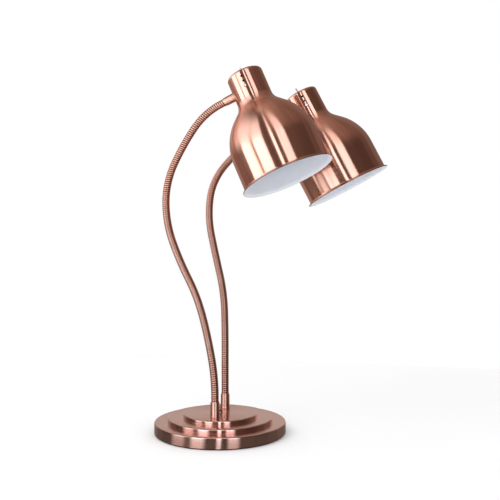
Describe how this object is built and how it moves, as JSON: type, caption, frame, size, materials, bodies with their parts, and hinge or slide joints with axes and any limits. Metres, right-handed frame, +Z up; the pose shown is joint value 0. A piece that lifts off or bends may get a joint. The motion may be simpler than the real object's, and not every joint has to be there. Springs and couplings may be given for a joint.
{
  "type": "food heat lamp",
  "caption": "Heat lamp on a weighted, three-tier round base: two bell shades on ribbed goosenecks that bend and sway, each with an infrared bulb and a toggle switch.",
  "frame": {"origin": "centre of the base's underside, on the surface that the lamp stands on", "axes": "+Z up; the arms stand on the Y axis, the front one at -Y and the back one at +Y; both shades hang out over +X"},
  "size_m": [0.4297, 0.3978, 0.6959],
  "materials": {
    "copper_plate": "polished copper plate",
    "copper_shade": "polished copper finish outside, white inside",
    "iron": "cast",
    "zinc_steel": "zinc plated",
    "nickel": "bright nickel",
    "pad_rubber": "matte",
    "black_plastic": "matte",
    "ivory_plastic": "glossy",
    "brass": "bare",
    "ceramic": "unglazed white",
    "bulb_glass": "frosted face, silvered inside"
  },
  "bodies": {
    "stand": {"base_cover": "copper_plate", "base_ballast": "iron", "base_plate": "zinc_steel", "base_pad": "pad_rubber", "plate_screws": "zinc_steel", "cable_gland": "black_plastic", "gland_nut": "black_plastic", "terminal_block": "ivory_plastic", "terminal_screws": "brass", "power_switch_body": "black_plastic", "power_switch_nut": "nickel", "front_lower_ferrule": "copper_plate", "back_lower_ferrule": "copper_plate", "arm_washers": "zinc_steel", "arm_nuts": "zinc_steel", "front_gooseneck_1": "copper_plate", "back_gooseneck_1": "copper_plate"},
    "power_lever": {"power_switch_lever": "nickel"},
    "front_link_2": {"front_gooseneck_2": "copper_plate"},
    "front_link_3": {"front_gooseneck_3": "copper_plate"},
    "front_link_4": {"front_gooseneck_4": "copper_plate"},
    "front_link_5": {"front_gooseneck_5": "copper_plate"},
    "front_link_6": {"front_gooseneck_6": "copper_plate"},
    "front_link_7": {"front_gooseneck_7": "copper_plate"},
    "front_head": {"front_gooseneck_8": "copper_plate", "front_upper_ferrule": "copper_plate", "front_ferrule_nut": "zinc_steel", "front_shade": "copper_shade", "front_bracket": "zinc_steel", "front_bracket_screws": "nickel", "front_lampholder": "ceramic", "front_screw_shell": "brass", "front_holder_screws": "zinc_steel", "front_bulb_glass": "bulb_glass", "front_bulb_cap": "brass", "front_switch_body": "black_plastic", "front_switch_nut": "nickel"},
    "front_switch_lever_body": {"front_switch_lever": "nickel"},
    "back_link_2": {"back_gooseneck_2": "copper_plate"},
    "back_link_3": {"back_gooseneck_3": "copper_plate"},
    "back_link_4": {"back_gooseneck_4": "copper_plate"},
    "back_link_5": {"back_gooseneck_5": "copper_plate"},
    "back_link_6": {"back_gooseneck_6": "copper_plate"},
    "back_link_7": {"back_gooseneck_7": "copper_plate"},
    "back_head": {"back_gooseneck_8": "copper_plate", "back_upper_ferrule": "copper_plate", "back_ferrule_nut": "zinc_steel", "back_shade": "copper_shade", "back_bracket": "zinc_steel", "back_bracket_screws": "nickel", "back_lampholder": "ceramic", "back_screw_shell": "brass", "back_holder_screws": "zinc_steel", "back_bulb_glass": "bulb_glass", "back_bulb_cap": "brass", "back_switch_body": "black_plastic", "back_switch_nut": "nickel"},
    "back_switch_lever_body": {"back_switch_lever": "nickel"}
  },
  "joints": [
    {"name": "power_switch", "type": "hinge", "parent": "stand", "child": "power_lever", "pos_m": [0, 0, 0.038], "axis": [1, 0, 0], "range_deg": [-20, 0]},
    {"name": "front_arm_bend", "type": "hinge", "parent": "stand", "child": "front_link_2", "pos_m": [-0.00667, -0.03599, 0.14454], "axis": [0, 1, 0], "range_deg": [-10, 15]},
    {"name": "front_arm_sway", "type": "hinge", "parent": "front_link_2", "child": "front_link_3", "pos_m": [-0.02535, -0.02955, 0.22099], "axis": [0.958, 0, 0.2868], "range_deg": [0, 8]},
    {"name": "front_arm_bend_2", "type": "hinge", "parent": "front_link_3", "child": "front_link_4", "pos_m": [-0.0564, -0.01935, 0.29271], "axis": [0, 1, 0], "range_deg": [-10, 15]},
    {"name": "front_arm_sway_2", "type": "hinge", "parent": "front_link_4", "child": "front_link_5", "pos_m": [-0.09162, -0.00657, 0.36221], "axis": [0.9167, 0, 0.3996], "range_deg": [0, 8]},
    {"name": "front_arm_bend_3", "type": "hinge", "parent": "front_link_5", "child": "front_link_6", "pos_m": [-0.10988, 0.00689, 0.43748], "axis": [0, 1, 0], "range_deg": [-10, 15]},
    {"name": "front_arm_sway_3", "type": "hinge", "parent": "front_link_6", "child": "front_link_7", "pos_m": [-0.0963, 0.01786, 0.51375], "axis": [0.9148, 0, -0.404], "range_deg": [0, 8]},
    {"name": "front_arm_bend_4", "type": "hinge", "parent": "front_link_7", "child": "front_head", "pos_m": [-0.05819, 0.02509, 0.58244], "axis": [0, 1, 0], "range_deg": [-10, 15]},
    {"name": "front_switch", "type": "hinge", "parent": "front_head", "child": "front_switch_lever_body", "pos_m": [0.04048, 0.02646, 0.68316], "axis": [0.0763, 0.9949, -0.0653], "range_deg": [0, 20]},
    {"name": "back_arm_bend", "type": "hinge", "parent": "stand", "child": "back_link_2", "pos_m": [-0.00097, 0.04223, 0.14482], "axis": [0, 1, 0], "range_deg": [-10, 15]},
    {"name": "back_arm_sway", "type": "hinge", "parent": "back_link_2", "child": "back_link_3", "pos_m": [-0.00502, 0.05427, 0.22277], "axis": [0.9971, 0, 0.0764], "range_deg": [-8, 0]},
    {"name": "back_arm_bend_2", "type": "hinge", "parent": "back_link_3", "child": "back_link_4", "pos_m": [-0.01871, 0.06852, 0.29912], "axis": [0, 1, 0], "range_deg": [-10, 15]},
    {"name": "back_arm_sway_2", "type": "hinge", "parent": "back_link_4", "child": "back_link_5", "pos_m": [-0.03951, 0.0839, 0.37376], "axis": [0.9651, 0, 0.2621], "range_deg": [-8, 0]},
    {"name": "back_arm_bend_3", "type": "hinge", "parent": "back_link_5", "child": "back_link_6", "pos_m": [-0.04848, 0.10515, 0.449], "axis": [0, 1, 0], "range_deg": [-10, 15]},
    {"name": "back_arm_sway_3", "type": "hinge", "parent": "back_link_6", "child": "back_link_7", "pos_m": [-0.02522, 0.13334, 0.51788], "axis": [0.8103, 0, -0.5861], "range_deg": [-8, 0]},
    {"name": "back_arm_bend_4", "type": "hinge", "parent": "back_link_7", "child": "back_head", "pos_m": [0.02535, 0.15966, 0.57228], "axis": [0, 1, 0], "range_deg": [-10, 15]},
    {"name": "back_switch", "type": "hinge", "parent": "back_head", "child": "back_switch_lever_body", "pos_m": [0.12449, 0.18077, 0.66872], "axis": [-0.1035, 0.9937, -0.0434], "range_deg": [0, 20]}
  ],
  "couplings": [
    {"joint": "front_arm_bend_2", "follows": "front_arm_bend", "ratio": 1},
    {"joint": "front_arm_sway_2", "follows": "front_arm_sway", "ratio": 1},
    {"joint": "front_arm_bend_3", "follows": "front_arm_bend", "ratio": 1},
    {"joint": "front_arm_sway_3", "follows": "front_arm_sway", "ratio": 1},
    {"joint": "front_arm_bend_4", "follows": "front_arm_bend", "ratio": 1},
    {"joint": "back_arm_bend_2", "follows": "back_arm_bend", "ratio": 1},
    {"joint": "back_arm_sway_2", "follows": "back_arm_sway", "ratio": 1},
    {"joint": "back_arm_bend_3", "follows": "back_arm_bend", "ratio": 1},
    {"joint": "back_arm_sway_3", "follows": "back_arm_sway", "ratio": 1},
    {"joint": "back_arm_bend_4", "follows": "back_arm_bend", "ratio": 1}
  ]
}
